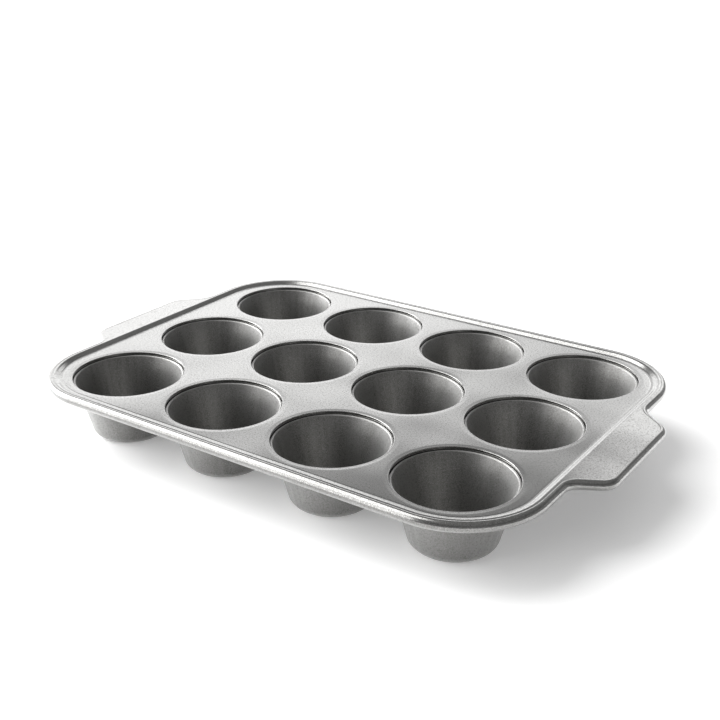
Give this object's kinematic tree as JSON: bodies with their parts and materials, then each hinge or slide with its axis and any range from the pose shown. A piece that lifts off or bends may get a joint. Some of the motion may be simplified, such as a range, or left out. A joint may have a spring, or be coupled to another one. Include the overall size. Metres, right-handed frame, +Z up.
{
  "type": "muffin tin",
  "caption": "Rectangular coated steel muffin tin with a grid of tapered round cups set in a flat deck, a raised rolled rim and a flat handle at each short end.",
  "frame": {"origin": "centre of the tin in plan, on the plane of the twelve cup floors' undersides", "axes": "+X along the long side, from one handle to the other; +Y along the short side; +Z up, out of the cups' mouths"},
  "size_m": [0.4038, 0.2728, 0.0429],
  "materials": {
    "coated_deck": "satin metallic grey non-stick coating on steel sheet, finely speckled",
    "coated_cup": "satin metallic grey non-stick coating on drawn steel, finely speckled, faint vertical draw streaks",
    "border_wire": "plain drawn steel wire"
  },
  "bodies": {
    "root": {"deck_plate": "coated_deck", "rim_wire": "border_wire", "cup_a1": "coated_cup", "cup_a2": "coated_cup", "cup_a3": "coated_cup", "cup_a4": "coated_cup", "cup_b1": "coated_cup", "cup_b2": "coated_cup", "cup_b3": "coated_cup", "cup_b4": "coated_cup", "cup_c1": "coated_cup", "cup_c2": "coated_cup", "cup_c3": "coated_cup", "cup_c4": "coated_cup"}
  },
  "joints": []
}
